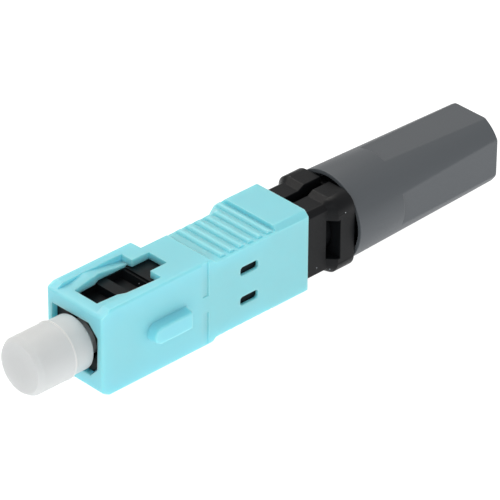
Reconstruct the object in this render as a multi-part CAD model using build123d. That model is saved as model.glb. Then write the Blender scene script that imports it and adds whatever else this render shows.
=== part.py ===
from build123d import *
import math
import os

os.makedirs("parts", exist_ok=True)

# An SC plug of the kind that is assembled on site, for a round fibre cable.
# Frame: +X runs rearward along the ferrule axis, from the front face of the grip towards
# the cable. -Y is the key side and +Z is up. The origin is on the ferrule axis, in the
# plane of the grip's front face. Lengths are in millimetres.

# Clearances
slide_gap = 0.08
turn_gap = 0.06
cap_gap = 0.03
press_gap = 0.01
seat_gap = 0.05
free_gap = 0.2
overcut = 0.5

# Travel of the moving pieces
grip_travel = 1.2

# Grip housing, outside
grip_length = 25.5
grip_width = 7.4
grip_height = 9.0
grip_edge = 0.3
grip_front_edge = 0.3
lead_in_length = 1.09
lead_in_drop = 0.58

# Grip housing, front opening and walls
lip_thickness = 1.4
opening_width = 6.06
opening_height = 5.4
opening_chamfer_y = 1.1
opening_chamfer_z = 1.05
corner_wall = 0.42

# Grip housing, latch channel with a hump on its far side, and window, on the top and the bottom
channel_width = 5.3
channel_depth = 0.43
channel_flat_end = 1.7
hump_x = 3.5
hump_drop = 0.04
channel_end = 8.05
ledge_depth = 0.72
window_start = 1.42
window_front_width = 3.0
window_widen_start = 3.8
window_widen_end = 4.6
window_rear_width = 3.7
notch_width = 2.4
notch_end = 10.1

# Grip housing, key on the near side
key_start = 5.35
key_end = 10.15
key_width = 2.0
key_height = 1.1
key_taper = 6
key_edge = 0.2

# Grip housing, finger grip
groove_start = 12.16
groove_end = 12.91
groove_depth = 0.1
groove_bridge = 1.7
far_cut_start = 10.04
far_cut_end = 19.7
far_cut = 1.5
far_cut_runout = 0.8
rear_chamfer = 0.55
near_chamfer_start = 12.9
near_chamfer_full = 14.3
recess_start = 13.2
recess_floor_start = 13.9
recess_end = 21.4
recess_depth = 0.46
ridge_count = 6
ridge_first = 14.95
ridge_pitch = 1.16
ridge_radius = 0.38
ridge_height = 0.28
slot_start = 16.9
slot_length = 2.2
slot_height = 0.9
slot_offset = 1.6
slot_radius = 0.3

# Plug frame
frame_front = 0.6
frame_flank_height = 6.84
frame_top_height = 7.24
frame_raise_start = 7.75
latch_floor_height = 5.3
latch_width = 3.5
latch_rib_start = 4.3
latch_rib_foot = 0.15
latch_rib_end = 5.5
latch_groove_end = 7.3
cap_socket_radius = 2.3
ferrule_wall_start = 7.0
ferrule_wall = 1.0
ferrule_hole_radius = 1.32
chamber_radius = 2.4
joint_radius = 2.6
joint_depth = 1.55

# Ferrule unit
ferrule_diameter = 2.499
ferrule_length = 10.5
ferrule_tip = -1.0
ferrule_tip_chamfer = 0.35
fibre_diameter = 0.125
fibre_hole = 0.15
fibre_length = 20.3
flange_length = 2.2
flange_socket_depth = 0.6
spring_wire = 0.42
spring_turns = 5
spring_length = 4.6
splice_radius = 1.6
splice_end_gap = 0.9
splice_neck = 0.7
splice_bore_radius = 0.25
splice_parting = 0.04
groove_mouth = 0.5
lid_setback = 0.5
lid_gap = 0.2
lid_front_share = 0.48
clamp_setback = 0.3
clamp_wall = 0.32
clamp_mouth = 1.3

# Rear body
body_front = 14.0
body_width = 6.4
body_height = 7.2
body_chamfer_y = 0.55
body_chamfer_z = 0.4
spigot_wall = 0.24
web_thickness = 1.0
sleeve_chamber_radius = 2.75
tube_bore_radius = 2.85
collar_setback = 2.8
collar_length = 2.9
collar_ramp = 0.75
collar_size = 8.0
collar_radius = 1.5
collar_foot_radius = 0.9
collar_foot_depth = 0.03
top_slot_width = 1.15
top_slot_y = 0.05
top_slot_lead = 5.8
side_window_length = 1.05
side_window_height = 4.1
tube_radius = 3.4
tube_length = 6.3
cone_length = 2.1
cone_radius = 3.08

# Lock sleeve and fibre guide
sleeve_setback = 0.5
sleeve_length = 6.7
sleeve_wall = 0.55
guide_nozzle_length = 3.2
guide_nozzle_radius = 1.4
guide_disc_length = 1.0
guide_hole_radius = 0.18
guide_funnel_radius = 1.1

# Cable collet
collet_jaw_length = 3.3
collet_front_radius = 2.55
collet_collar_radius = 3.25
collet_collar_length = 1.3
collet_tail_radius = 2.45
collet_tail_length = 2.2
collet_bore_radius = 1.55
collet_slit = 0.5
collet_slits = 2

# Tail nut
nut_length = 19.3
nut_front_radius = 4.62
nut_end_radius = 4.14
nut_mouth_radius = 4.2
nut_mouth_depth = 0.8
nut_mouth_cone = 0.6
nut_round_length = 6.0
nut_flat_front = 4.15
nut_flat_end = 3.62
nut_end_edge = 0.06
nut_inner_radius = 2.7
nut_inner_length = 3.5
cable_hole_length = 5.7
cable_hole_radius = 1.75

# Dust cap
cap_nose = -6.5
cap_nose_bevel_x = 0.5
cap_nose_bevel_r = 0.34
cap_front_radius = 2.83
cap_ring_x = -2.35
cap_ring_width = 0.16
cap_ring_height = 0.05
cap_rear_radius = 2.71
cap_rim_x = -0.05
cap_rim_edge = 0.12
cap_spigot_radius = 1.75
cap_spigot_end = 4.4
cap_spigot_edge = 0.3
cap_hole_end = -5.3

# Sizes that follow from the ones above
half_grip_y = grip_width / 2
half_grip_z = grip_height / 2
half_opening_y = opening_width / 2
half_opening_z = opening_height / 2
half_frame_y = half_opening_y - slide_gap
half_nose_z = half_opening_z - slide_gap
half_flank_z = frame_flank_height / 2
half_frame_z = frame_top_height / 2
half_floor_z = latch_floor_height / 2
half_body_y = body_width / 2
half_body_z = body_height / 2
half_collar = collar_size / 2
corner_sum = half_grip_y + half_grip_z - far_cut - corner_wall * math.sqrt(2)
fit_corner_sum = corner_sum - slide_gap * math.sqrt(2)
frame_corner_cut = half_frame_y + half_frame_z - fit_corner_sum
cavity_corner_cut = half_opening_y + half_frame_z + slide_gap - corner_sum
shoulder_x = lip_thickness + grip_travel + seat_gap
flank_end = channel_end + grip_travel + slide_gap + seat_gap
frame_end = body_front - press_gap
wide_start = body_front - grip_travel - 2 * free_gap
flange_start = ferrule_wall_start + ferrule_wall
flange_end = flange_start + flange_length
flange_radius = chamber_radius - slide_gap
ferrule_radius = ferrule_diameter / 2
ferrule_end = ferrule_tip + ferrule_length
socket_start = frame_end - joint_depth
spigot_start = socket_start + seat_gap
spigot_radius = joint_radius - press_gap
spigot_bore = spigot_radius - spigot_wall
spring_radius = flange_radius - spring_wire / 2 - seat_gap
spring_end = flange_end + spring_length
web_end = spring_end + web_thickness
web_hole_radius = splice_radius + slide_gap
body_slim_end = far_cut_end + far_cut_runout + grip_travel + free_gap
collar_start = grip_length + collar_setback
collar_end = collar_start + collar_length
top_slot_start = collar_start - top_slot_lead
ramp_end = collar_start + collar_ramp
side_window_end = collar_start + side_window_length
tube_end = collar_end + tube_length
cone_start = tube_end - cone_length
sleeve_radius = sleeve_chamber_radius - slide_gap
sleeve_bore = sleeve_radius - sleeve_wall
sleeve_end = collar_end - sleeve_setback
sleeve_start = sleeve_end - sleeve_length
tube_bore_start = collar_end - free_gap
guide_disc_radius = tube_bore_radius - press_gap
guide_front = tube_bore_start - guide_nozzle_length
guide_end = tube_bore_start + guide_disc_length
splice_front = flange_end - flange_socket_depth
splice_solid_end = web_end + splice_neck
splice_end = guide_front - splice_end_gap
lid_start = splice_solid_end + lid_setback
lid_end = splice_end - lid_setback
lid_front_length = (lid_end - lid_start - lid_gap) * lid_front_share
lid_rear_start = lid_start + lid_front_length + lid_gap
clamp_start = lid_start + clamp_setback
clamp_end = lid_end - clamp_setback
clamp_bore = splice_radius + press_gap
clamp_radius = clamp_bore + clamp_wall
collet_front = tube_end - collet_jaw_length
collar_x = tube_end + seat_gap
collar_back = collar_x + collet_collar_length
collet_end = collar_back + collet_tail_length
nut_front = collar_end + free_gap
nut_end = nut_front + nut_length
nut_flat_start = nut_front + nut_round_length
nut_shoulder = collar_back + seat_gap
nut_inner_end = nut_shoulder + nut_inner_length
nut_thread_radius = tube_radius + turn_gap
cable_hole_start = nut_end - cable_hole_length
cap_bore = ferrule_radius + cap_gap


def block(x0, x1, y0, y1, z0, z1):
    """A box between two corners."""
    middle = Pos((x0 + x1) / 2, (y0 + y1) / 2, (z0 + z1) / 2)
    return middle * Box(x1 - x0, y1 - y0, z1 - z0)


def turned(*points):
    """A solid turned about the X axis, from points (x, radius)."""
    outline = Polyline(*[(x, 0, r) for x, r in points], close=True)
    return revolve(make_face(outline), Axis.X, 360)


def rod(x0, x1, radius):
    """A cylinder along the X axis."""
    return Pos((x0 + x1) / 2, 0, 0) * Rot(0, 90, 0) * Cylinder(radius, x1 - x0)


def section(x, outline):
    """A flat face across the X axis, from (y, z) points."""
    return make_face(Polyline(*[(x, y, z) for y, z in outline], close=True))


def bar(x0, x1, outline):
    """A bar along X of one section, given as (y, z) points."""
    return extrude(section(x0, outline), x1 - x0, dir=(1, 0, 0))


def crossbar(y0, y1, outline):
    """A bar along Y, whose side view is given as (x, z) points."""
    face = make_face(Polyline(*[(x, y0, z) for x, z in outline], close=True))
    return extrude(face, y1 - y0, dir=(0, 1, 0))


def across(half_width, outline):
    """A bar along Y, centred, whose side view is given as (x, z) points."""
    return crossbar(-half_width, half_width, outline)


def plate(z0, z1, outline):
    """A plate whose plan view is given as (x, y) points."""
    face = make_face(Polyline(*[(x, y, z0) for x, y in outline], close=True))
    return extrude(face, z1 - z0, dir=(0, 0, 1))


def both_faces(tool):
    """A tool and its mirror image, for the top and the bottom."""
    return tool + mirror(tool, about=Plane.XY)


def cut_corners(half_y, half_z, cut_y, cut_z, far_corners=True):
    """A rectangle with its near corners cut, and its far corners too unless left square."""
    points = [(-half_y, -half_z + cut_z), (-half_y + cut_y, -half_z)]
    if far_corners:
        points += [(half_y - cut_y, -half_z), (half_y, -half_z + cut_z)]
        points += [(half_y, half_z - cut_z), (half_y - cut_y, half_z)]
    else:
        points += [(half_y, -half_z), (half_y, half_z)]
    return points + [(-half_y + cut_y, half_z), (-half_y, half_z - cut_z)]


def eight_sided(half_y, half_z, cut):
    """A rectangle with the same 45 degree cut at its four corners."""
    return cut_corners(half_y, half_z, cut, cut)


def edge_cut(x0, cut0, x1, cut1, side):
    """A 45 degree cut along a grip edge that changes from one size to another."""
    faces = []
    y = half_grip_y + overcut
    z = half_grip_z + overcut
    for x, cut in ((x0, cut0), (x1, cut1)):
        leg = cut + 2 * overcut
        faces.append(section(x, [(side * (y - leg), z), (side * y, z - leg), (side * y, z)]))
    return both_faces(loft(faces, ruled=True))


def grip_form():
    """The outer form of the grip, without its openings."""
    y = half_grip_y
    z = half_grip_z
    form = block(0, grip_length, -y, y, -z, z)
    slope = lead_in_drop / lead_in_length
    form -= both_faces(across(y + overcut, [
        (-overcut, z - lead_in_drop - overcut * slope), (lead_in_length + overcut, z + overcut * slope),
        (-overcut, z + overcut * slope)]))
    form = fillet(form.edges().filter_by(Axis.X), grip_edge)
    form = fillet(form.faces().sort_by(Axis.X)[0].edges(), grip_front_edge)
    floor = z - recess_depth
    form -= both_faces(across(y + overcut, [
        (recess_start, z), (recess_floor_start, floor), (recess_end, floor), (recess_end, z + overcut),
        (recess_start, z + overcut)]))
    for number in range(ridge_count):
        place = Pos(ridge_first + number * ridge_pitch, 0, floor + ridge_height - ridge_radius)
        form += both_faces(place * Rot(90, 0, 0) * Cylinder(ridge_radius, grip_width - 2 * grip_edge))
    form -= edge_cut(far_cut_start, far_cut, far_cut_end, far_cut, 1)
    form -= edge_cut(far_cut_end, far_cut, far_cut_end + far_cut_runout, rear_chamfer, 1)
    form -= edge_cut(far_cut_end + far_cut_runout, rear_chamfer, grip_length + overcut, rear_chamfer, 1)
    form -= edge_cut(near_chamfer_start, 0, near_chamfer_full, rear_chamfer, -1)
    form -= edge_cut(near_chamfer_full, rear_chamfer, grip_length + overcut, rear_chamfer, -1)
    form -= both_faces(block(groove_start, groove_end, -y - overcut, -y + groove_depth,
                             groove_bridge / 2, z + overcut))
    return form


def grip_key():
    """The key, with a rounded front end and drawn-in sides."""
    radius = key_width / 2
    base = Plane(origin=(0, grip_edge - half_grip_y, 0), x_dir=(1, 0, 0), z_dir=(0, -1, 0))
    nose_x = key_start + radius
    outline = Pos(nose_x, 0) * Circle(radius)
    outline += Pos((nose_x + key_end) / 2, 0) * Rectangle(key_end - nose_x, key_width)
    key = extrude(base * outline, key_height + grip_edge, taper=key_taper)
    return fillet(key.faces().sort_by(Axis.Y)[0].edges(), key_edge)


def grip_housing():
    """The sliding outer housing."""
    shell = grip_form() + grip_key()
    shell -= bar(-overcut, lip_thickness + overcut,
                 cut_corners(half_opening_y, half_opening_z, opening_chamfer_y, opening_chamfer_z, False))
    half_wide_y = half_body_y + slide_gap
    half_wide_z = half_body_z + slide_gap
    narrow_roof_end = channel_end - slide_gap
    shell -= bar(lip_thickness, narrow_roof_end + overcut,
                 eight_sided(half_opening_y, half_flank_z + slide_gap, cavity_corner_cut))
    shell -= bar(narrow_roof_end, wide_start + overcut,
                 eight_sided(half_opening_y, half_frame_z + slide_gap, cavity_corner_cut))
    wide_cut = half_wide_y + half_wide_z - corner_sum
    shell -= bar(wide_start, grip_length, eight_sided(half_wide_y, half_wide_z, wide_cut))
    shell -= block(far_cut_end + far_cut_runout, grip_length + overcut, -half_wide_y, half_wide_y,
                   -half_wide_z, half_wide_z)
    top = half_grip_z + overcut
    floor = half_grip_z - channel_depth
    front = [(-overcut, floor), (channel_flat_end, floor)]
    hump = [(hump_x, half_grip_z - hump_drop)]
    back = [(channel_end, half_grip_z - ledge_depth), (channel_end, top), (-overcut, top)]
    shell -= both_faces(crossbar(-channel_width / 2, overcut, front + back))
    shell -= both_faces(crossbar(0, channel_width / 2, front + hump + back))
    edge = [(window_start, window_front_width / 2), (window_widen_start, window_front_width / 2),
            (window_widen_end, window_rear_width / 2), (channel_end, window_rear_width / 2),
            (channel_end, notch_width / 2), (notch_end, notch_width / 2)]
    outline = edge + [(x, -y) for x, y in reversed(edge)]
    shell -= both_faces(plate(half_nose_z, top, outline))
    for side in (-1, 1):
        wall = Plane(origin=(slot_start + slot_length / 2, -half_grip_y - overcut, side * slot_offset),
                     x_dir=(1, 0, 0), z_dir=(0, 1, 0))
        shell -= extrude(wall * RectangleRounded(slot_length, slot_height, slot_radius), 2 * overcut)
    return shell


def plug_frame():
    """The inner frame that carries the ferrule and latches in an adapter."""
    frame = bar(frame_front, shoulder_x + overcut,
                cut_corners(half_frame_y, half_nose_z, opening_chamfer_y, opening_chamfer_z, False))
    frame += bar(shoulder_x, flank_end + overcut, eight_sided(half_frame_y, half_flank_z, frame_corner_cut))
    frame += bar(flank_end, frame_end, eight_sided(half_frame_y, half_frame_z, frame_corner_cut))
    half_latch = latch_width / 2
    frame += block(frame_raise_start, flank_end + overcut, -half_latch, half_latch,
                   -half_frame_z, half_frame_z)
    top = half_frame_z + overcut
    foot = latch_rib_start - latch_rib_foot
    frame -= both_faces(across(half_latch + slide_gap, [
        (shoulder_x - overcut, half_floor_z), (foot, half_floor_z), (latch_rib_start, top),
        (shoulder_x - overcut, top)]))
    frame -= both_faces(across(half_latch + slide_gap, [
        (latch_rib_end, half_floor_z), (latch_groove_end, half_floor_z), (frame_raise_start, top),
        (latch_rib_end, top)]))
    frame -= rod(frame_front - overcut, ferrule_wall_start, cap_socket_radius)
    frame -= rod(ferrule_wall_start - overcut, flange_start + overcut, ferrule_hole_radius)
    frame -= rod(flange_start, socket_start + overcut, chamber_radius)
    frame -= rod(socket_start, frame_end + overcut, joint_radius)
    return frame


def ferrule():
    """The ceramic ferrule."""
    inner = fibre_hole / 2
    return turned((ferrule_tip, inner), (ferrule_tip, ferrule_radius - ferrule_tip_chamfer),
                  (ferrule_tip + ferrule_tip_chamfer, ferrule_radius), (ferrule_end, ferrule_radius),
                  (ferrule_end, inner))


def ferrule_flange():
    """The collar pressed on the ferrule, with a socket for the splice base."""
    hole = ferrule_radius + press_gap
    socket = splice_radius + press_gap
    return turned((flange_start, hole), (flange_start, flange_radius), (flange_end, flange_radius),
                  (flange_end, socket), (splice_front, socket), (splice_front, hole))


def ferrule_spring():
    """The spring that pushes the ferrule forward."""
    half_wire = spring_wire / 2
    height = spring_length - spring_wire - 2 * press_gap
    path = Helix(pitch=height / spring_turns, height=height, radius=spring_radius)
    start = Plane(origin=path @ 0, z_dir=path % 0)
    coil = sweep(start * Circle(half_wire), path=path)
    return Pos(flange_end + press_gap + half_wire, 0, 0) * Rot(0, 90, 0) * coil


def splice_base():
    """The splice body: a bored front part, then an open half with a fibre groove."""
    base = rod(splice_front, splice_end, splice_radius)
    low = -splice_parting / 2
    base -= block(splice_solid_end, splice_end + overcut, -2 * splice_radius, 2 * splice_radius,
                  low, 2 * splice_radius)
    base -= rod(splice_front - overcut, splice_solid_end + overcut, splice_bore_radius)
    half_mouth = groove_mouth / 2
    base -= bar(splice_solid_end, splice_end + overcut,
                [(-half_mouth, low), (0, low - half_mouth), (half_mouth, low), (0, low + half_mouth)])
    return base


def splice_lid(start, end):
    """One of the two lids that press the fibre in its groove."""
    lid = rod(start, end, splice_radius)
    return lid - block(start - overcut, end + overcut, -2 * splice_radius, 2 * splice_radius,
                       -2 * splice_radius, splice_parting / 2)


def splice_clamp():
    """The open spring sleeve that squeezes the lids on the base."""
    clamp = rod(clamp_start, clamp_end, clamp_radius)
    clamp -= rod(clamp_start - overcut, clamp_end + overcut, clamp_bore)
    half_mouth = clamp_mouth / 2
    return clamp - block(clamp_start - overcut, clamp_end + overcut, -2 * clamp_radius, 0,
                         -half_mouth, half_mouth)


def rear_body():
    """The black body behind the frame, with its collar and its threaded tube."""
    slim_cut = half_body_y + half_body_z - fit_corner_sum
    body = bar(body_front, body_slim_end + overcut, eight_sided(half_body_y, half_body_z, slim_cut))
    body += bar(body_slim_end, collar_start + overcut,
                cut_corners(half_body_y, half_body_z, body_chamfer_y, body_chamfer_z))
    foot = Plane(origin=(collar_start, 0, 0), x_dir=(0, 1, 0), z_dir=(1, 0, 0)) * RectangleRounded(
        body_width - 2 * collar_foot_depth, body_height - 2 * collar_foot_depth, collar_foot_radius)
    full = Plane(origin=(ramp_end, 0, 0), x_dir=(0, 1, 0), z_dir=(1, 0, 0)) * RectangleRounded(
        collar_size, collar_size, collar_radius)
    body += loft([foot, full], ruled=True) + extrude(full, collar_end - ramp_end)
    body += rod(spigot_start, body_front + overcut, spigot_radius)
    body += rod(collar_end - overcut, tube_end, tube_radius)
    body -= rod(spigot_start - overcut, spring_end, spigot_bore)
    body -= rod(spring_end - overcut, web_end + overcut, web_hole_radius)
    body -= rod(web_end, tube_bore_start + overcut, sleeve_chamber_radius)
    body -= turned((tube_bore_start, 0), (tube_bore_start, tube_bore_radius), (cone_start, tube_bore_radius),
                   (tube_end, cone_radius), (tube_end + overcut, cone_radius), (tube_end + overcut, 0))
    half_slot = top_slot_width / 2
    body -= block(top_slot_start, collar_end, top_slot_y - half_slot, top_slot_y + half_slot,
                  sleeve_chamber_radius / 2, half_collar + overcut)
    half_window = side_window_height / 2
    body -= block(collar_start, side_window_end, -half_collar - overcut, -sleeve_bore / 2,
                  -half_window, half_window)
    return body


def lock_sleeve():
    """The sleeve that slides over the splice to lock it."""
    outer = rod(sleeve_start, sleeve_end, sleeve_radius)
    return outer - rod(sleeve_start - overcut, sleeve_end + overcut, sleeve_bore)


def fibre_guide():
    """The funnel that leads the fibre into the splice."""
    return turned((guide_front, guide_hole_radius), (guide_front, guide_nozzle_radius),
                  (tube_bore_start, guide_nozzle_radius), (tube_bore_start, guide_disc_radius),
                  (guide_end, guide_disc_radius), (guide_end, guide_funnel_radius),
                  (guide_front + guide_disc_length, guide_hole_radius))


def cable_collet():
    """The slit collet that grips the cable jacket."""
    cone_foot = tube_bore_radius - slide_gap
    cone_top = cone_radius - slide_gap
    collet = turned((collet_front, collet_bore_radius), (collet_front, collet_front_radius),
                    (cone_start, cone_foot), (tube_end, cone_top), (collar_x, cone_top),
                    (collar_x, collet_collar_radius), (collar_back, collet_collar_radius),
                    (collar_back, collet_tail_radius), (collet_end, collet_tail_radius),
                    (collet_end, collet_bore_radius))
    half_slit = collet_slit / 2
    for number in range(collet_slits):
        slit = block(collet_front - overcut, tube_end, -2 * collet_collar_radius, 2 * collet_collar_radius,
                     -half_slit, half_slit)
        collet -= Rot(180 * number / collet_slits, 0, 0) * slit
    return collet


def tail_nut():
    """The tail nut, round in front, with four flats behind."""
    nut = turned((nut_front, 0), (nut_front, nut_front_radius), (nut_end - nut_end_edge, nut_end_radius),
                 (nut_end, nut_end_radius - nut_end_edge), (nut_end, 0))
    fall = (nut_flat_front - nut_flat_end) / (nut_end - nut_flat_start)
    flat = across(nut_front_radius, [
        (nut_flat_start, nut_flat_front), (nut_end + overcut, nut_flat_end - overcut * fall),
        (nut_end + overcut, 2 * nut_front_radius), (nut_flat_start, 2 * nut_front_radius)])
    for quarter in range(4):
        nut -= Rot(90 * quarter, 0, 0) * flat
    return nut - turned(
        (nut_front - overcut, 0), (nut_front - overcut, nut_mouth_radius),
        (nut_front + nut_mouth_depth, nut_mouth_radius),
        (nut_front + nut_mouth_depth + nut_mouth_cone, nut_thread_radius),
        (nut_shoulder, nut_thread_radius), (nut_shoulder, nut_inner_radius),
        (nut_inner_end, nut_inner_radius), (cable_hole_start, cable_hole_radius),
        (nut_end + overcut, cable_hole_radius), (nut_end + overcut, 0))


def dust_cap():
    """The dust cap over the ferrule, with the hollow spigot that holds it."""
    ring_end = cap_ring_x + cap_ring_width
    ring_radius = cap_front_radius + cap_ring_height
    return turned((cap_nose, 0), (cap_nose, cap_front_radius - cap_nose_bevel_r),
                  (cap_nose + cap_nose_bevel_x, cap_front_radius), (cap_ring_x, cap_front_radius),
                  (cap_ring_x, ring_radius), (ring_end, ring_radius), (ring_end, cap_rear_radius),
                  (cap_rim_x - cap_rim_edge, cap_rear_radius), (cap_rim_x, cap_rear_radius - cap_rim_edge),
                  (cap_rim_x, cap_spigot_radius), (cap_spigot_end - cap_spigot_edge, cap_spigot_radius),
                  (cap_spigot_end, cap_spigot_radius - cap_spigot_edge), (cap_spigot_end, cap_bore),
                  (cap_hole_end, cap_bore), (cap_hole_end, 0))


pieces = {
    "dust_cap": (dust_cap(), 0xDDE3E4),
    "grip_housing": (grip_housing(), 0x7FD4DE),
    "plug_frame": (plug_frame(), 0x2A2B2E),
    "ferrule": (ferrule(), 0xF2F0E8),
    "ferrule_flange": (ferrule_flange(), 0xB9BCC0),
    "ferrule_spring": (ferrule_spring(), 0xB9BCC0),
    "fibre_stub": (rod(ferrule_tip, ferrule_tip + fibre_length, fibre_diameter / 2), 0xE8F0F2),
    "splice_base": (splice_base(), 0xD8D4C8),
    "splice_lid_front": (splice_lid(lid_start, lid_start + lid_front_length), 0xD8D4C8),
    "splice_lid_rear": (splice_lid(lid_rear_start, lid_end), 0xD8D4C8),
    "splice_clamp": (splice_clamp(), 0xB9BCC0),
    "rear_body": (rear_body(), 0x2A2B2E),
    "lock_sleeve": (lock_sleeve(), 0x303135),
    "fibre_guide": (fibre_guide(), 0x303135),
    "cable_collet": (cable_collet(), 0x303135),
    "tail_nut": (tail_nut(), 0x606468),
}

for name, (shape, colour) in pieces.items():
    shape.label = name
    shape.color = Color(colour)
    export_step(shape, os.path.join("parts", name + ".step"))
    print(name, round(shape.volume, 3), len(shape.solids()), shape.is_valid)
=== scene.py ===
"""SC fibre connector: the moulded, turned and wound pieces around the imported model, and the studio.

The settings are in metres, as Blender keeps them. +X runs rearward along the ferrule axis,
-Y is the key side and +Z is up.
"""

import math

import bmesh
import bpy
from bpy.props import FloatProperty, FloatVectorProperty, IntProperty, PointerProperty
from mathutils import Matrix, Vector


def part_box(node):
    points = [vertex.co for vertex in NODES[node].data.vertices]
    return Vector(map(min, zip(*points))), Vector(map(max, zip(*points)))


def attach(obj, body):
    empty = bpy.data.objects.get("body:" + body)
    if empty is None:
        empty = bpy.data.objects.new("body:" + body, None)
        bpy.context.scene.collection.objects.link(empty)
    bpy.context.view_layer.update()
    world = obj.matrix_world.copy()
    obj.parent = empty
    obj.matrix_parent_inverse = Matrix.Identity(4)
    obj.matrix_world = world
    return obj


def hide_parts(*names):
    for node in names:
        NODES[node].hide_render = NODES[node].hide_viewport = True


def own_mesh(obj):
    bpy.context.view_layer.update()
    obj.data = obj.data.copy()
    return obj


bl_info = {
    "name": "SC Fibre Connector",
    "version": (1, 0, 0),
    "blender": (4, 5, 0),
    "location": "3D View > Sidebar > Connector",
    "description": "Builds a field-assembled SC fibre connector around its packed model",
    "category": "Add Mesh",
}

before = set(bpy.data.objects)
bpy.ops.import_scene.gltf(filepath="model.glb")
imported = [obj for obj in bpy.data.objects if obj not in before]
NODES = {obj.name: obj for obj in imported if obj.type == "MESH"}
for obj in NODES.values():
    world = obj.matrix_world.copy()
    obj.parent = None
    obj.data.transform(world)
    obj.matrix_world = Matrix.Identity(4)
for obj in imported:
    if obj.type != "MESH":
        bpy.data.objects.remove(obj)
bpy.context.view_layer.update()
MM = 0.001

# Meshes: points nearer than WELD are one, and faces nearer to level than FLAT_ANGLE are one.
WELD = 0.002 * MM
FLAT_ANGLE = math.radians(0.5)

# Shading: an edge past SMOOTH_ANGLE is a crease, and so is one past CREASE_ANGLE between faces that
# are both wider than CREASE_ROOM.
SMOOTH_ANGLE = math.radians(34)
CREASE_ANGLE = math.radians(10.5)
CREASE_ROOM = 0.45 * MM

# Rounding: an edge past SHARP_ANGLE is rounded where both its faces are wider than EDGE_ROOM radii.
# The width is taken at ROOM_PLACES, as shares of the edge, and at the corners that lie opposite the
# edge, further from its ends than CORNER_MARGIN.
SHARP_ANGLE = math.radians(24)
EDGE_ROOM = 2.2
ROOM_PLACES = (0.08, 0.5, 0.92)
CORNER_MARGIN = 0.02

# Outlines: the rounding of a corner takes up at most CORNER_SHARE of each side.
CORNER_SHARE = 0.45

# Materials: the range that a noise mostly covers, the depth of a bump and the specks of dust.
NOISE_RANGE = (0.3, 0.7)
RELIEF_DEPTH = 0.01 * MM
DUST_CELL = 0.7 * MM
DUST_SIZE = 0.075
DUST_SHARE = 0.5

# Studio: each lamp's name, place, side and tint, and the camera as it stood for the photo.
LAMPS = (("Top", (0.1, 0.4, 0.7), 0.5, (1.0, 0.96, 0.91)),
         ("Side", (-0.2, -0.7, 0.12), 0.5, (0.9, 0.97, 1.0)),
         ("Front", (-0.5, -0.3, 0.45), 0.15, (0.95, 0.98, 1.0)))
LAMP_TARGET = (22 * MM, 0, 0)
CAMERA_PLACE = (-0.2111, -0.2424, 0.2101)
CAMERA_AXES = ((0.7238, -0.6900, 0.0056), (0.3620, 0.3866, 0.8482), (-0.5874, -0.6120, 0.5296))
SENSOR_WIDTH = 36.0
CLIP_START = 0.01


def linear(code):
    """The linear colour of an sRGB hex code."""
    channels = [int(code[i:i + 2], 16) / 255 for i in (0, 2, 4)]
    return [c / 12.92 if c <= 0.04045 else ((c + 0.055) / 1.055) ** 2.4 for c in channels]


def size(name, description, millimetres):
    """A length setting, given in millimetres and kept in metres."""
    return FloatProperty(name=name, description=description, default=millimetres * MM, min=0.0,
                         precision=5, subtype="DISTANCE", unit="LENGTH")


def colour(name, description, code):
    """A colour setting, given as an sRGB hex code."""
    return FloatVectorProperty(name=name, description=description, default=linear(code), size=3,
                               min=0.0, max=1.0, subtype="COLOR")


class ScfMouldings(bpy.types.PropertyGroup):
    """Edges of the moulded pieces."""

    grip_edge: size("Grip edge", "Radius along the edges of the grip housing", 0.09)
    body_edge: size("Body edge", "Radius along the edges of the black mouldings", 0.08)
    cap_edge: size("Cap edge", "Radius along the edges of the dust cap", 0.04)
    cap_ring: FloatProperty(name="Cap ring", description="Place of the middle of the dust cap's ring",
                            default=-2.27 * MM, precision=5, subtype="DISTANCE", unit="LENGTH")
    # The pale band on the cap's ring is a painted highlight along its crest.
    cap_ring_half: size("Cap ring half", "Half the width of the pale band on the dust cap's ring", 0.11)
    cap_steps: IntProperty(name="Cap steps", description="Straight steps around the dust cap", default=128)


class ScfNut(bpy.types.PropertyGroup):
    """Inside and outside of the tail nut."""

    end_radius: size("End radius", "Radius at the rear end, before the edge", 4.14)
    end_edge: size("End edge", "Bevel around the rear end", 0.06)
    round_length: size("Round length", "Length of the round part in front of the flats", 6.0)
    flat_front: size("Flat front", "Distance of a flat from the axis where it starts", 4.15)
    flat_end: size("Flat end", "Distance of a flat from the axis at the rear end", 3.62)
    mouth_radius: size("Mouth radius", "Radius of the mouth", 4.2)
    mouth_depth: size("Mouth depth", "Depth of the mouth", 0.8)
    mouth_cone: size("Mouth cone", "Length of the cone behind the mouth", 0.6)
    thread_radius: size("Thread radius", "Radius of the thread bore", 3.46)
    shoulder: size("Shoulder", "Depth of the shoulder that pushes the collet", 7.5)
    inner_radius: size("Inner radius", "Radius of the bore around the collet's tail", 2.7)
    inner_end: size("Inner end", "Depth of the end of that bore", 11.0)
    hole_start: size("Hole start", "Depth where the cable hole starts", 13.6)
    hole_radius: size("Hole radius", "Radius of the cable hole", 1.75)
    rim_edge: size("Rim edge", "Radius along the rims", 0.07)
    flat_edge: size("Flat edge", "Softness of the flats' edges", 0.012)
    step_edge: size("Step edge", "Radius along the edge in front of the flats", 0.12)
    steps: IntProperty(name="Steps", description="Straight steps around the nut", default=360, min=64)
    rings: IntProperty(name="Rings", description="Rings along the flats", default=36, min=8)
    edge_rings: IntProperty(name="Edge rings", description="Steps across the edge in front of the flats",
                            default=6, min=2)


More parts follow.
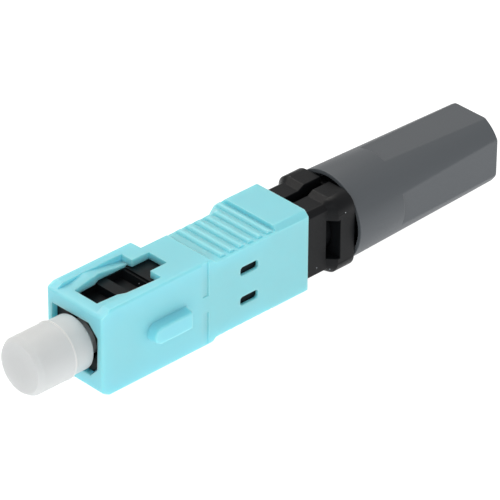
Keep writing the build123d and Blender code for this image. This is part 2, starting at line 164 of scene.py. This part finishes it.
class ScfCoils(bpy.types.PropertyGroup):
    """The spring and the thread."""

    spring_wire: size("Spring wire", "Diameter of the ferrule spring's wire", 0.42)
    spring_turns: FloatProperty(name="Spring turns", description="Turns of the ferrule spring", default=5.0)
    spring_sides: IntProperty(name="Spring sides", description="Sides of the spring wire's section",
                              default=10, min=3)
    thread_pitch: size("Thread pitch", "Pitch of the thread on the tail tube", 1.0)
    thread_root: size("Thread root", "Root radius of the thread on the tail tube", 3.2)
    thread_crest: size("Thread crest", "Crest radius of the thread on the tail tube", 3.4)
    thread_sides: IntProperty(name="Thread sides", description="Sides of the thread's section",
                              default=6, min=3)
    steps: IntProperty(name="Steps", description="Straight steps in each turn", default=48, min=8)


class ScfColours(bpy.types.PropertyGroup):
    """Colours of the materials."""

    aqua: colour("Aqua", "Grip housing", "91DDE9")
    black: colour("Black", "Frame, rear body and inner mouldings", "111214")
    dust: colour("Dust", "Specks on the black plastic", "B4B9BE")
    grey: colour("Grey", "Tail nut", "565A5E")
    frost: colour("Frost", "Dust cap", "E6E8E8")
    ceramic: colour("Ceramic", "Ferrule", "EFEBDD")
    amber: colour("Amber", "Splice pieces", "D9B978")
    steel: colour("Steel", "Spring, flange and clamp", "C3C4C6")
    silica: colour("Silica", "Fibre", "F2F7F8")
    table: colour("Table", "Skin of the light table", "808080")


class ScfStage(bpy.types.PropertyGroup):
    """Camera, table and light."""

    focal: FloatProperty(name="Focal length", description="Focal length of the camera in mm", default=310.1)
    table_size: size("Table size", "Side of the light table", 3000)
    world: FloatProperty(name="Room light", description="Strength of the room's even light", default=0.55)
    table_glow: FloatProperty(name="Table glow", description="Strength of the light table", default=1.0)
    top: FloatProperty(name="Top light", description="Power of the warm light above in W", default=3.2)
    side: FloatProperty(name="Side light", description="Power of the cool light on the key side in W",
                        default=1.1)
    front: FloatProperty(name="Front light", description="Power of the small light in front in W",
                         default=0.25)


def add(tree, kind, settings=None, links=None):
    """Adds a node: settings are attributes or input values, links feed an input from an output."""
    node = tree.nodes.new(kind)
    for key, value in (settings or {}).items():
        if isinstance(key, str) and key in node.bl_rna.properties:
            setattr(node, key, value)
        else:
            node.inputs[key].default_value = value
    for key, output in (links or {}).items():
        tree.links.new(output, node.inputs[key])
    return node


def rgba(value, factor=1.0):
    """A colour with full alpha, lightened or darkened by a factor."""
    return (*[min(1.0, channel * factor) for channel in value[:3]], 1.0)


def start_material(name):
    """An empty node material: the material, its tree and the place on the piece."""
    material = bpy.data.materials.new(name)
    material.use_nodes = True
    tree = material.node_tree
    tree.nodes.clear()
    return material, tree, add(tree, "ShaderNodeTexCoord").outputs["Object"]


def noise(tree, place, millimetres, detail=2.0, stretch=None):
    """Noise whose features are about that many millimetres across."""
    if stretch:
        place = add(tree, "ShaderNodeMapping", {"Scale": stretch}, {"Vector": place}).outputs["Vector"]
    settings = {"Scale": 1 / (millimetres * MM), "Detail": detail}
    return add(tree, "ShaderNodeTexNoise", settings, {"Vector": place}).outputs["Fac"]


def spread(tree, value, low, high):
    """A noise value spread over the range from low to high."""
    settings = {"From Min": NOISE_RANGE[0], "From Max": NOISE_RANGE[1], "To Min": low, "To Max": high}
    return add(tree, "ShaderNodeMapRange", settings, {"Value": value}).outputs["Result"]


def blend(tree, value, first, second):
    """A colour between two."""
    settings = {"data_type": "RGBA", 6: rgba(first), 7: rgba(second)}
    return add(tree, "ShaderNodeMix", settings, {0: value}).outputs[2]


def relief(tree, height, strength):
    """A very shallow bump from a noise value."""
    settings = {"Strength": strength, "Distance": RELIEF_DEPTH}
    return add(tree, "ShaderNodeBump", settings, {"Height": height}).outputs["Normal"]


def finish_material(tree, settings, links):
    """Ends a material in its surface shader."""
    surface = add(tree, "ShaderNodeBsdfPrincipled", settings, links)
    add(tree, "ShaderNodeOutputMaterial", None, {"Surface": surface.outputs["BSDF"]})


def moulded_abs(tone):
    """Injection-moulded ABS: light bleeds softly round its edges, under a very fine eroded grain."""
    material, tree, place = start_material("Aqua moulded ABS")
    flow = noise(tree, place, 5)
    grain = noise(tree, place, 0.12, 3.0)
    finish_material(tree, {"IOR": 1.53, "Specular IOR Level": 0.4, "Subsurface Weight": 0.85,
                           "Subsurface Scale": 1.2 * MM, "Subsurface Radius": (0.7, 1.0, 1.0)},
                    {"Base Color": blend(tree, flow, rgba(tone, 0.97), rgba(tone, 1.03)),
                     "Roughness": spread(tree, grain, 0.36, 0.46), "Normal": relief(tree, grain, 0.1)})
    return material


def filled_pbt(tone, specks):
    """Glass-filled PBT: near black and slightly blue, half-gloss, with pale specks of dust on it."""
    material, tree, place = start_material("Black glass-filled PBT")
    grain = noise(tree, place, 0.15, 4.0)
    cell = add(tree, "ShaderNodeTexVoronoi", {"Scale": 1 / DUST_CELL}, {"Vector": place})
    near = add(tree, "ShaderNodeMath", {"operation": "LESS_THAN", 1: DUST_SIZE},
               {0: cell.outputs["Distance"]})
    split = add(tree, "ShaderNodeSeparateColor", None, {"Color": cell.outputs["Color"]})
    rare = add(tree, "ShaderNodeMath", {"operation": "GREATER_THAN", 1: DUST_SHARE},
               {0: split.outputs["Red"]})
    speck = add(tree, "ShaderNodeMath", {"operation": "MULTIPLY"}, {0: near.outputs[0], 1: rare.outputs[0]})
    finish_material(tree, {"IOR": 1.55, "Specular IOR Level": 0.14},
                    {"Base Color": blend(tree, speck.outputs[0], tone, specks),
                     "Roughness": spread(tree, grain, 0.34, 0.48), "Normal": relief(tree, grain, 0.2)})
    return material


def moulded_nylon(tone):
    """Moulded nylon: grey, satin, with faint lengthwise flow marks from the mould."""
    material, tree, place = start_material("Grey moulded nylon")
    flow = noise(tree, place, 1.6, 3.0, (0.15, 1.0, 1.0))
    grain = noise(tree, place, 0.1, 3.0)
    finish_material(tree, {"IOR": 1.53, "Specular IOR Level": 0.35},
                    {"Base Color": blend(tree, flow, rgba(tone, 0.95), rgba(tone, 1.05)),
                     "Roughness": spread(tree, grain, 0.42, 0.54), "Normal": relief(tree, grain, 0.2)})
    return material


def band(tree, value, middle, half):
    """One in the middle of a band of values and nothing outside it."""
    settings = {"operation": "COMPARE", 1: middle, 2: half}
    return add(tree, "ShaderNodeMath", settings, {0: value}).outputs[0]


def frosted_polyethylene(tone, ring, highlight_half, bore):
    """Natural polyethylene: milky and matt, with a painted highlight along the crest of its moulded ring and
    painted shade over the hollow bore behind the wall.
    """
    material, tree, place = start_material("Frosted polyethylene")
    haze = noise(tree, place, 2.5)
    grain = noise(tree, place, 0.15)
    axes = add(tree, "ShaderNodeSeparateXYZ", None, {"Vector": place})
    across = add(tree, "ShaderNodeCombineXYZ", None, {"Y": axes.outputs["Y"], "Z": axes.outputs["Z"]})
    reach = add(tree, "ShaderNodeVectorMath", {"operation": "LENGTH"}, {0: across.outputs["Vector"]})
    # Painted shade: the colour darkens towards the axis, where the hollow bore lies behind the milky wall.
    bore_shade = add(tree, "ShaderNodeMapRange", {"interpolation_type": "SMOOTHSTEP", "From Min": 0.5 * bore,
                                              "From Max": 1.6 * bore, "To Min": 0.06, "To Max": 0.0},
                 {"Value": reach.outputs["Value"]})
    milk = blend(tree, haze, rgba(tone, 0.97), rgba(tone, 1.02))
    shade = add(tree, "ShaderNodeMix", {"data_type": "RGBA", 7: rgba(tone, 0.3)},
                {0: bore_shade.outputs["Result"], 6: milk})
    # Painted highlight: a near-white band of colour along the crest of the moulded ring.
    ring_highlight = add(tree, "ShaderNodeMix", {"data_type": "RGBA", 7: (1.0, 0.99, 0.97, 1.0)},
                {0: band(tree, axes.outputs["X"], ring, highlight_half), 6: shade.outputs[2]})
    finish_material(tree, {"IOR": 1.51, "Specular IOR Level": 0.3, "Transmission Weight": 0.2,
                           "Subsurface Weight": 0.6, "Subsurface Scale": 0.9 * MM,
                           "Subsurface Radius": (1.0, 1.0, 1.0)},
                    {"Base Color": ring_highlight.outputs[2],
                     "Roughness": spread(tree, grain, 0.42, 0.54), "Normal": relief(tree, grain, 0.15)})
    return material


def polished_zirconia(tone):
    """Polished zirconia: cream white, hard and glossy, with grinding lines too fine to feel."""
    material, tree, place = start_material("Polished zirconia")
    lines = noise(tree, place, 0.4, 2.0, (8.0, 0.4, 0.4))
    finish_material(tree, {"Base Color": rgba(tone), "IOR": 2.1, "Subsurface Weight": 0.2,
                           "Subsurface Scale": 0.3 * MM}, {"Roughness": spread(tree, lines, 0.12, 0.2)})
    return material


def turned_steel(tone):
    """Stainless steel: drawn or turned, with fine lines around the axis."""
    material, tree, place = start_material("Stainless steel")
    lines = noise(tree, place, 0.5, 3.0, (6.0, 0.5, 0.5))
    finish_material(tree, {"Base Color": rgba(tone), "Metallic": 1.0},
                    {"Roughness": spread(tree, lines, 0.22, 0.36)})
    return material


def moulded_pei(tone):
    """Moulded polyetherimide: amber, a little translucent, with a gloss from its polished mould."""
    material, tree, place = start_material("Amber moulded polyetherimide")
    flow = noise(tree, place, 1.5)
    finish_material(tree, {"Roughness": 0.28, "IOR": 1.64, "Subsurface Weight": 0.2,
                           "Subsurface Scale": 0.5 * MM},
                    {"Base Color": blend(tree, flow, rgba(tone, 0.94), tone)})
    return material


def drawn_silica(tone):
    """Drawn silica: clear glass with a faint cloud in it."""
    material, tree, place = start_material("Drawn silica")
    cloud = noise(tree, place, 0.5)
    finish_material(tree, {"Base Color": rgba(tone), "IOR": 1.46, "Transmission Weight": 0.9},
                    {"Roughness": spread(tree, cloud, 0.02, 0.08)})
    return material


def lit_acrylic(tone, glow):
    """Opal acrylic lit from behind, as on a photographer's light table: white and without shadows."""
    material, tree, place = start_material("Lit opal acrylic")
    haze = noise(tree, place, 40)
    finish_material(tree, {"Roughness": 0.9, "Specular IOR Level": 0.1, "Emission Color": rgba((1, 1, 1)),
                           "Emission Strength": glow},
                    {"Base Color": blend(tree, haze, rgba(tone, 0.98), tone)})
    return material


def shown(name, mesh, body, slot, material, *nodes):
    """Makes a finished mesh into a piece that rides on a body."""
    mesh.materials.clear()
    mesh.materials.append(material)
    piece = bpy.data.objects.new(name, mesh)
    bpy.context.scene.collection.objects.link(piece)
    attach(piece, body)
    if nodes:
        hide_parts(*nodes)
    return piece


def welded(node):
    """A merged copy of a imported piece's mesh, its flat faces whole again."""
    work = bmesh.new()
    work.from_mesh(NODES[node].data)
    bmesh.ops.remove_doubles(work, verts=work.verts, dist=WELD)
    bmesh.ops.dissolve_limit(work, angle_limit=FLAT_ANGLE, verts=work.verts, edges=work.edges)
    mesh = bpy.data.meshes.new(node)
    work.to_mesh(mesh)
    work.free()
    return mesh


def through_modifier(mesh, kind, settings):
    """The mesh as it is after one modifier."""
    carrier = bpy.data.objects.new("carrier", mesh)
    bpy.context.scene.collection.objects.link(carrier)
    modifier = carrier.modifiers.new(kind.title(), kind)
    for key, value in settings.items():
        if key.startswith("Socket_"):
            modifier[key] = value
        else:
            setattr(modifier, key, value)
    bpy.context.view_layer.update()
    evaluated = carrier.evaluated_get(bpy.context.evaluated_depsgraph_get())
    result = bpy.data.meshes.new_from_object(evaluated)
    carrier.modifiers.clear()
    bpy.data.objects.remove(carrier)
    return result


def room(loop):
    """How far a face reaches inwards from one of its edges, at some places and opposite its corners."""
    start = loop.vert.co
    run = loop.link_loop_next.vert.co - start
    along = run.normalized()
    inward = loop.face.normal.cross(along)
    sides = []
    least = math.inf
    for other in loop.face.loops:
        if other != loop:
            pair = [v.co - start for v in (other.vert, other.link_loop_next.vert)]
            sides.append([(p.dot(along), p.dot(inward)) for p in pair])
            u, v = sides[-1][0]
            if CORNER_MARGIN * run.length < u < (1 - CORNER_MARGIN) * run.length and v > WELD:
                least = min(least, v)
    for share in ROOM_PLACES:
        place = share * run.length
        for (u0, v0), (u1, v1) in sides:
            if (u0 - place) * (u1 - place) < 0:
                reach = v0 + (v1 - v0) * (place - u0) / (u1 - u0)
                if reach > WELD:
                    least = min(least, reach)
    return least


def smoothed(mesh):
    """The mesh with smooth curves, and creases where two wide faces or a sharp edge meet."""
    work = bmesh.new()
    work.from_mesh(mesh)
    for face in work.faces:
        face.smooth = True
    for edge in work.edges:
        if len(edge.link_faces) != 2:
            continue
        angle = edge.calc_face_angle()
        edge.smooth = angle < CREASE_ANGLE or (
            angle < SMOOTH_ANGLE and min(room(loop) for loop in edge.link_loops) < CREASE_ROOM)
    work.to_mesh(mesh)
    work.free()
    return through_modifier(mesh, "WEIGHTED_NORMAL", {"keep_sharp": True, "weight": 100})


def rounded(mesh, radius, segments=3):
    """The mesh with a radius on each sharp edge that has room for it."""
    work = bmesh.new()
    work.from_mesh(mesh)
    edges = [edge for edge in work.edges if len(edge.link_faces) == 2
             and edge.calc_face_angle() > SHARP_ANGLE
             and min(room(loop) for loop in edge.link_loops) > EDGE_ROOM * radius]
    bmesh.ops.bevel(work, geom=edges, offset=radius, offset_type="OFFSET", segments=segments, profile=0.5,
                    affect="EDGES", clamp_overlap=False)
    work.to_mesh(mesh)
    work.free()
    return smoothed(mesh)


def softened(points, radius, steps=4):
    """An outline of (x, r) points with its corners rounded."""
    result = [points[0]]
    for before, here, after in zip(points, points[1:], points[2:]):
        corner = Vector(here)
        back = Vector(before) - corner
        ahead = Vector(after) - corner
        reach = min(radius, CORNER_SHARE * back.length, CORNER_SHARE * ahead.length)
        start = corner + back.normalized() * reach
        end = corner + ahead.normalized() * reach
        for step in range(steps + 1):
            share = step / steps
            result.append(tuple(start.lerp(corner, share).lerp(corner.lerp(end, share), share)))
    return result + [points[-1]]


def turned(outline, steps, radius_at=None):
    """A mesh turned about the X axis from (x, r) points. radius_at may reshape each ring."""
    work = bmesh.new()
    rings = []
    for x, r in outline:
        if r < WELD:
            rings.append([work.verts.new((x, 0, 0))])
            continue
        ring = []
        for step in range(steps):
            angle = 2 * math.pi * step / steps
            reach = radius_at(x, r, angle) if radius_at else r
            ring.append(work.verts.new((x, -reach * math.sin(angle), reach * math.cos(angle))))
        rings.append(ring)
    if len(rings[0]) > 1 and len(rings[-1]) > 1:
        rings.append(rings[0])
    for first, second in zip(rings, rings[1:]):
        for step in range(steps):
            after = (step + 1) % steps
            corners = [first[step % len(first)], first[after % len(first)],
                       second[after % len(second)], second[step % len(second)]]
            work.faces.new(list(dict.fromkeys(corners)))
    bmesh.ops.recalc_face_normals(work, faces=work.faces)
    mesh = bpy.data.meshes.new("turned")
    work.to_mesh(mesh)
    work.free()
    return mesh


def outline_of(node):
    """The (x, r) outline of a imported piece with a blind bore, from its nose along its outside and back."""
    pairs = {(round(v.co.x / WELD), round(math.hypot(v.co.y, v.co.z) / WELD))
             for v in NODES[node].data.vertices}
    points = sorted((x * WELD, r * WELD) for x, r in pairs if r > 1)
    bore = min(r for _, r in points)
    inner = [point for point in points if point[1] < bore + WELD]
    outer = [point for point in points if point[1] >= bore + WELD]
    outline = [(outer[0][0], 0.0)]
    while outer:
        level = [point for point in outer if point[0] < outer[0][0] + WELD]
        level.sort(key=lambda point: abs(point[1] - outline[-1][1]) if len(outline) > 1 else point[1])
        outline += level
        outer = outer[len(level):]
    return outline + inner[::-1] + [(inner[0][0], 0.0)]


def coil_tree():
    """Geometry nodes: a wire of any section wound around the X axis, for the spring and the thread."""
    tree = bpy.data.node_groups.new("Wound wire", "GeometryNodeTree")
    face = tree.interface
    face.new_socket("Geometry", in_out="OUTPUT", socket_type="NodeSocketGeometry")
    for name, kind in (("Turns", "Float"), ("Steps", "Int"), ("Radius", "Float"), ("Length", "Float"),
                       ("Start", "Float"), ("Wire radius", "Float"), ("Wire sides", "Int"),
                       ("Material", "Material")):
        face.new_socket(name, in_out="INPUT", socket_type="NodeSocket" + kind)
    given = add(tree, "NodeGroupInput").outputs
    spiral = add(tree, "GeometryNodeCurveSpiral", None, {
        "Resolution": given["Steps"], "Rotations": given["Turns"], "Start Radius": given["Radius"],
        "End Radius": given["Radius"], "Height": given["Length"]})
    offset = add(tree, "ShaderNodeCombineXYZ", None, {"X": given["Start"]})
    laid = add(tree, "GeometryNodeTransform", {"Rotation": (0.0, math.pi / 2, 0.0)},
               {"Geometry": spiral.outputs["Curve"], "Translation": offset.outputs["Vector"]})
    section = add(tree, "GeometryNodeCurvePrimitiveCircle", None,
                  {"Resolution": given["Wire sides"], "Radius": given["Wire radius"]})
    wire = add(tree, "GeometryNodeCurveToMesh", {"Fill Caps": True},
               {"Curve": laid.outputs["Geometry"], "Profile Curve": section.outputs["Curve"]})
    real = add(tree, "GeometryNodeRealizeInstances", None, {"Geometry": wire.outputs["Mesh"]})
    skin = add(tree, "GeometryNodeSetMaterial", None,
               {"Geometry": real.outputs["Geometry"], "Material": given["Material"]})
    add(tree, "NodeGroupOutput", None, {"Geometry": skin.outputs["Geometry"]})
    return tree


def wound(**values):
    """The mesh that the wound-wire tree makes from its named inputs, with its faces outwards."""
    tree = coil_tree()
    names = {item.name.replace(" ", "_").lower(): item.identifier
             for item in tree.interface.items_tree if item.in_out == "INPUT"}
    settings = {names[key]: value for key, value in values.items()}
    mesh = through_modifier(bpy.data.meshes.new("wire"), "NODES", {"node_group": tree, **settings})
    work = bmesh.new()
    work.from_mesh(mesh)
    bmesh.ops.remove_doubles(work, verts=work.verts, dist=WELD)
    bmesh.ops.recalc_face_normals(work, faces=work.faces)
    work.to_mesh(mesh)
    work.free()
    mesh.shade_smooth()
    mesh.set_sharp_from_angle(angle=SMOOTH_ANGLE)
    return mesh


def lay_table(side, ground, skin):
    """Lays the light table under the connector."""
    half = side / 2
    mesh = bpy.data.meshes.new("light_table")
    corners = [(half * x, half * y, ground) for x, y in ((-1, -1), (1, -1), (1, 1), (-1, 1))]
    mesh.from_pydata(corners, [], [(0, 1, 2, 3)])
    mesh.materials.append(skin)
    table = bpy.data.objects.new("light_table", mesh)
    bpy.context.scene.collection.objects.link(table)


def fill_room(strength):
    """Fills the room with even white light."""
    world = bpy.data.worlds.new("Studio")
    world.use_nodes = True
    background = world.node_tree.nodes["Background"]
    background.inputs["Color"].default_value = (1.0, 1.0, 1.0, 1.0)
    background.inputs["Strength"].default_value = strength
    bpy.context.scene.world = world


def hang_lamp(name, place, side, power, tint):
    """Hangs a square soft light that points at the connector."""
    light = bpy.data.lights.new(name, "AREA")
    light.shape = "SQUARE"
    light.size = side
    light.energy = power
    light.color = tint
    lamp = bpy.data.objects.new(name, light)
    lamp.location = place
    lamp.rotation_euler = (Vector(LAMP_TARGET) - Vector(place)).to_track_quat("-Z", "Y").to_euler()
    bpy.context.scene.collection.objects.link(lamp)


def aim_camera(focal):
    """Places the camera where the photo was taken from."""
    camera = bpy.data.cameras.new("Photo camera")
    camera.sensor_width = SENSOR_WIDTH
    camera.lens = focal
    camera.clip_start = CLIP_START
    view = bpy.data.objects.new("Photo camera", camera)
    view.matrix_world = Matrix.Translation(CAMERA_PLACE) @ Matrix(CAMERA_AXES).transposed().to_4x4()
    bpy.context.scene.collection.objects.link(view)
    bpy.context.scene.camera = view


class SCF_OT_grip(bpy.types.Operator):
    """Moulds the aqua grip housing"""

    bl_idname = "scf.grip"
    bl_label = "Grip housing"

    def execute(self, context):
        scene = context.scene
        mesh = rounded(welded("grip_housing"), scene.scf_mouldings.grip_edge)
        skin = moulded_abs(scene.scf_colours.aqua)
        shown("grip_shell", mesh, "grip", "aqua_plastic", skin, "grip_housing")
        return {"FINISHED"}


class SCF_OT_core(bpy.types.Operator):
    """Moulds the black frame, the rear body and the pieces inside it, and winds the tube's thread"""

    bl_idname = "scf.core"
    bl_label = "Frame and rear body"

    def execute(self, context):
        scene = context.scene
        edge = scene.scf_mouldings.body_edge
        coils = scene.scf_coils
        skin = filled_pbt(scene.scf_colours.black, scene.scf_colours.dust)
        tube_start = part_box("tail_nut")[0].x
        tube_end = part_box("rear_body")[1].x
        housing = welded("rear_body")
        for vertex in housing.vertices:
            reach = math.hypot(vertex.co.y, vertex.co.z)
            if vertex.co.x > tube_start and reach > coils.thread_root:
                vertex.co.y *= coils.thread_root / reach
                vertex.co.z *= coils.thread_root / reach
        shown("rear_housing", rounded(housing, edge), "core", "black_plastic", skin, "rear_body")
        start = tube_start + coils.thread_pitch
        span = tube_end - start - coils.thread_pitch / 2
        thread = wound(turns=span / coils.thread_pitch, steps=coils.steps, radius=coils.thread_root,
                       length=span, start=start, wire_radius=coils.thread_crest - coils.thread_root,
                       wire_sides=coils.thread_sides, material=skin)
        shown("tube_thread", thread, "core", "black_plastic", skin)
        for node, name, body in (("plug_frame", "inner_frame", "core"),
                                 ("lock_sleeve", "lock_barrel", "lock"),
                                 ("fibre_guide", "fibre_funnel", "core"),
                                 ("cable_collet", "collet_jaws", "collet")):
            shown(name, smoothed(welded(node)), body, "black_plastic", skin, node)
        return {"FINISHED"}


class SCF_OT_nut(bpy.types.Operator):
    """Moulds the grey tail nut, round in front, with four flats behind"""

    bl_idname = "scf.nut"
    bl_label = "Tail nut"

    def execute(self, context):
        scene = context.scene
        nut = scene.scf_nut
        low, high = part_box("tail_nut")
        front, end = low.x, high.x
        flats = front + nut.round_length
        run = end - nut.end_edge - flats
        fall = (high.z - nut.end_radius) / (end - nut.end_edge - front)

        def side(x):
            """The radius of the outside, before the flats."""
            return high.z - fall * (x - front)

        def flattened(x, r, angle):
            """The radius with the flats cut in, their edges soft and a round edge in front of them."""
            if x < flats - nut.step_edge or r < nut.thread_radius:
                return r
            distance = nut.flat_front - (nut.flat_front - nut.flat_end) * (x - flats) / (end - flats)
            turn = (angle + math.pi / 4) % (math.pi / 2) - math.pi / 4
            flat = distance / math.cos(turn)
            cut = min(flat, r) - nut.flat_edge * math.log1p(math.exp(-abs(flat - r) / nut.flat_edge))
            if x > flats - WELD:
                return cut
            ahead = 1 - (flats - x) / nut.step_edge
            return max(cut, r - nut.step_edge * (1 - math.sqrt(1 - ahead * ahead)))

        inside = [(front + nut.hole_start, nut.hole_radius), (front + nut.inner_end, nut.inner_radius),
                  (front + nut.shoulder, nut.inner_radius), (front + nut.shoulder, nut.thread_radius),
                  (front + nut.mouth_depth + nut.mouth_cone, nut.thread_radius),
                  (front + nut.mouth_depth, nut.mouth_radius)]
        rim = [(front + nut.mouth_depth, nut.mouth_radius), (front, nut.mouth_radius), (front, side(front)),
               (flats - nut.step_edge, side(flats - nut.step_edge))]
        turns = [flats - nut.step_edge * (1 - math.sin(step * math.pi / (2 * nut.edge_rings)))
                 for step in range(1, nut.edge_rings)]
        brink = [(x, side(x)) for x in (*turns, flats - 2 * WELD)]
        back = [(end - nut.end_edge, nut.end_radius), (end, nut.end_radius - nut.end_edge),
                (end, nut.hole_radius), (front + nut.hole_start, nut.hole_radius)]
        along = [(flats + run * step / nut.rings, side(flats + run * step / nut.rings))
                 for step in range(nut.rings)]
        outline = softened(rim, nut.rim_edge) + brink + along
        outline += softened(back, nut.rim_edge)[:-1] + inside[:-1]
        mesh = smoothed(turned(outline, nut.steps, flattened))
        shown("tail_shell", mesh, "nut", "grey_plastic", moulded_nylon(scene.scf_colours.grey), "tail_nut")
        return {"FINISHED"}


class SCF_OT_cap(bpy.types.Operator):
    """Moulds the frosted dust cap"""

    bl_idname = "scf.cap"
    bl_label = "Dust cap"

    def execute(self, context):
        scene = context.scene
        sizes = scene.scf_mouldings
        mesh = smoothed(turned(softened(outline_of("dust_cap"), sizes.cap_edge), sizes.cap_steps))
        skin = frosted_polyethylene(scene.scf_colours.frost, sizes.cap_ring, sizes.cap_ring_half,
                                    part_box("ferrule")[1].z)
        shown("cap_shell", mesh, "cap", "frosted_plastic", skin, "dust_cap")
        return {"FINISHED"}


class SCF_OT_ferrule(bpy.types.Operator):
    """Finishes the ferrule unit and winds its spring"""

    bl_idname = "scf.ferrule"
    bl_label = "Ferrule unit"

    def execute(self, context):
        scene = context.scene
        colours = scene.scf_colours
        coils = scene.scf_coils
        steel = turned_steel(colours.steel)
        amber = moulded_pei(colours.amber)
        skins = {"ferrule": polished_zirconia(colours.ceramic), "fibre_stub": drawn_silica(colours.silica),
                 "ferrule_flange": steel, "splice_clamp": steel, "splice_base": amber,
                 "splice_lid_front": amber, "splice_lid_rear": amber}
        for node, skin in skins.items():
            NODES[node].data.materials.clear()
            NODES[node].data.materials.append(skin)
        low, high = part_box("ferrule_spring")
        wire = coils.spring_wire / 2
        coil = wound(turns=coils.spring_turns, steps=coils.steps, radius=high.z - wire,
                     length=high.x - low.x - 2 * wire, start=low.x + wire, wire_radius=wire,
                     wire_sides=coils.spring_sides, material=steel)
        spring = shown("wound_spring", coil, "core", "steel", steel, "ferrule_spring")
        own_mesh(spring)
        return {"FINISHED"}


class SCF_OT_stage(bpy.types.Operator):
    """Sets up the light table, the lights and the camera"""

    bl_idname = "scf.stage"
    bl_label = "Stage"

    def execute(self, context):
        scene = context.scene
        stage = scene.scf_stage
        lay_table(stage.table_size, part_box("tail_nut")[0].z,
                  lit_acrylic(scene.scf_colours.table, stage.table_glow))
        fill_room(stage.world)
        for name, place, side, tint in LAMPS:
            hang_lamp(name, place, side, getattr(stage, name.lower()), tint)
        aim_camera(stage.focal)
        scene.view_settings.view_transform = "Standard"
        return {"FINISHED"}


class SCF_PT_panel(bpy.types.Panel):
    """The connector's operators and settings"""

    bl_idname = "SCF_PT_panel"
    bl_label = "SC Fibre Connector"
    bl_space_type = "VIEW_3D"
    bl_region_type = "UI"
    bl_category = "Connector"

    def draw(self, context):
        for operator in OPERATORS:
            self.layout.operator(operator.bl_idname)
        for name, group in GROUPS.items():
            box = self.layout.box()
            for key in group.__annotations__:
                box.prop(getattr(context.scene, name), key)


GROUPS = {"scf_mouldings": ScfMouldings, "scf_nut": ScfNut, "scf_coils": ScfCoils,
          "scf_colours": ScfColours, "scf_stage": ScfStage}
OPERATORS = (SCF_OT_grip, SCF_OT_core, SCF_OT_nut, SCF_OT_cap, SCF_OT_ferrule, SCF_OT_stage)


def register():
    """Registers the classes and hangs the settings on the scene."""
    for group in (*GROUPS.values(), *OPERATORS, SCF_PT_panel):
        bpy.utils.register_class(group)
    for name, group in GROUPS.items():
        setattr(bpy.types.Scene, name, PointerProperty(type=group))


def unregister():
    """Undoes register."""
    for name in GROUPS:
        delattr(bpy.types.Scene, name)
    for group in (SCF_PT_panel, *reversed(OPERATORS), *GROUPS.values()):
        bpy.utils.unregister_class(group)


def main():
    """Builds the whole scene."""
    register()
    bpy.ops.scf.grip()
    bpy.ops.scf.core()
    bpy.ops.scf.nut()
    bpy.ops.scf.cap()
    bpy.ops.scf.ferrule()
    bpy.ops.scf.stage()


if __name__ == "__main__":
    main()
